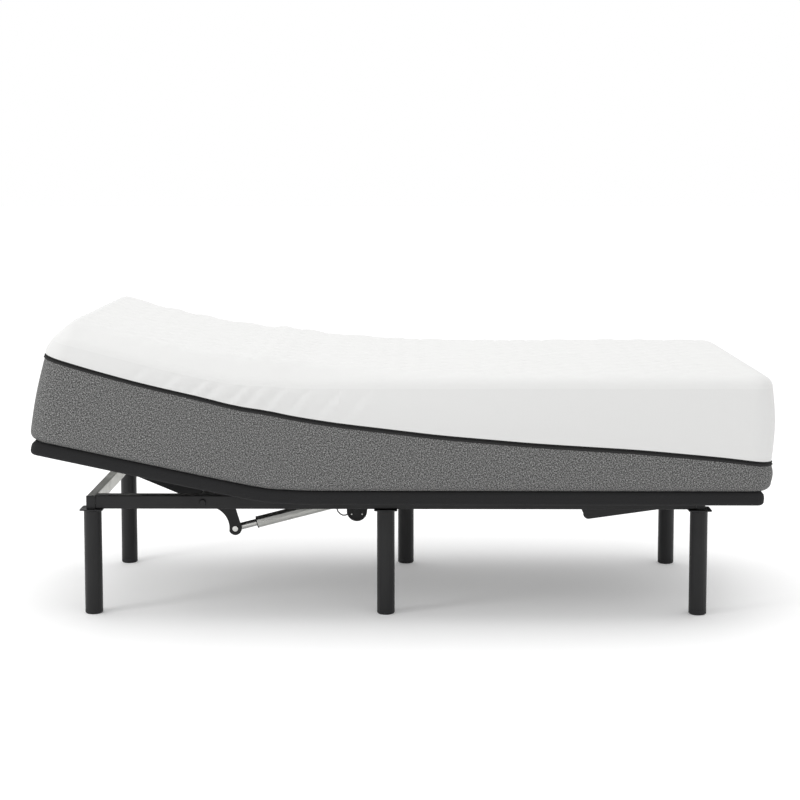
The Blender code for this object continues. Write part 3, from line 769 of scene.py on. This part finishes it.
def pivot_details():
    """Heads, nuts and retaining rings at the pins and stub axles, where they stand at rest."""
    head_cap = button(0.0085, 0.0016)
    bright("head_pin_cap_near", head_cap, HEAD_PIN, -0.0192, -1, "head_lift")
    bright("head_pin_cap_far", head_cap, HEAD_PIN, 0.0132, 1, "head_lift")
    for prefix, tail, y in (("head", HEAD_TAIL, 0.0), ("thigh", THIGH_TAIL, 0.115)):
        for side, way in (("near", -1), ("far", 1)):
            name = f"{prefix}_tail_pin_{side}"
            bright(name, button(0.0080, 0.0030), tail, y + way * 0.0163, way, "base_frame")
    head_roller = arm_end(HEAD_LIFT_AXLE, HEAD_ARM, HEAD_ARM_UP, -1)
    link_top = arm_end(LINK_AXLE, LINK_LENGTH, LINK_UP, 1)
    roller_clip, link_clip = washer(0.0062, 0.0090, 0.0013), washer(0.0062, 0.0095, 0.0015)
    for side, sign in SIDES.items():
        for prefix, roller in (("head", head_roller), ("thigh", THIGH_ROLLER)):
            name, body = f"{prefix}_roller_clip_{side}", prefix + "_lift"
            bright(name, roller_clip, roller, sign * 0.1817, -sign, body, ring=True)
        bright(f"link_clip_{side}", link_clip, LINK_AXLE, sign * 0.2825, -sign, "base_frame", ring=True)
        bright(f"link_bolt_{side}", button(0.0085, 0.0035), link_top, sign * 0.2882, sign, f"link_{side}")
        nut = button(0.0080, 0.0040)
        bright(f"link_nut_{side}", nut, link_top, sign * 0.2758, -sign, "foot_section", steps=6)


def box_screws():
    """Four screws in the underside of the control box."""
    corners = ((-0.062, 0.155), (0.012, 0.155), (-0.062, 0.255), (0.012, 0.255))
    for k, (x, y) in enumerate(corners):
        screw(f"control_box_screw_{k}", (x, y, 0.2648), (0, 0, -1), 0.0030, "base_frame")


tube_caps()
leg_tops()
drive_details("head", HEAD_PIN, HEAD_TAIL, 0.0, 0.0685, (-0.117, 0.238), 0.0305)
drive_details("thigh", THIGH_PIN, THIGH_TAIL, 0.115, 0.060, (-0.235, 0.243), 0.027)
pivot_details()
box_screws()


# ---------------------------------------------------------------- floor, light and camera
def floor():
    mesh = bpy.data.meshes.new("floor")
    corners = [(x * FLOOR_HALF, y * FLOOR_HALF, 0) for x, y in ((-1, -1), (1, -1), (1, 1), (-1, 1))]
    mesh.from_pydata(corners, [], [(0, 1, 2, 3)])
    pale, shader = shader_of("pale_floor", (0.90, 0.90, 0.90), 0.9)
    shader.inputs["Emission Color"].default_value = (1, 1, 1, 1)
    shader.inputs["Emission Strength"].default_value = 0.15
    bump(pale, shader, noise(pale, "Object", (1, 1, 1), 300.0), 0.05, 0.0005)
    mesh.materials.append(pale)
    made = bpy.data.objects.new("floor", mesh)
    bpy.context.scene.collection.objects.link(made)


def lamp(name, at, towards, size, power):
    light = bpy.data.lights.new(name, "AREA")
    light.shape = "RECTANGLE"
    light.size, light.size_y = size
    light.energy = power
    made = bpy.data.objects.new(name, light)
    made.location = at
    made.rotation_euler = (Vector(towards) - Vector(at)).to_track_quat("-Z", "Y").to_euler()
    bpy.context.scene.collection.objects.link(made)


floor()
world = bpy.data.worlds.new("studio")
bpy.context.scene.world = world
world.use_nodes = True
world.node_tree.nodes["Background"].inputs["Color"].default_value = (1, 1, 1, 1)
world.node_tree.nodes["Background"].inputs["Strength"].default_value = 1.0
lamp("overhead", (0, 0.5, 5.0), (0, 0, 0), (6.0, 6.0), 98)
lamp("key", (-4.2, -2.6, 2.4), (0, 0, 0.5), (1.2, 1.0), 42)

camera = bpy.data.objects.new("camera", bpy.data.cameras.new("camera"))
camera.location = CAMERA_AT
camera.rotation_euler = [math.radians(a) for a in CAMERA_TURN]
camera.data.lens = CAMERA_LENS
camera.data.sensor_width = 36
camera.data.shift_y = CAMERA_SHIFT
bpy.context.scene.collection.objects.link(camera)
bpy.context.scene.camera = camera
bpy.context.scene.view_settings.view_transform = "Standard"

meshes = [o for o in bpy.context.scene.objects if o.type == "MESH" and not o.hide_render]
shown = [o for o in meshes if o.name != "floor"]
{"cad_box": CAD_BOX, "visual_box": measured(shown)}
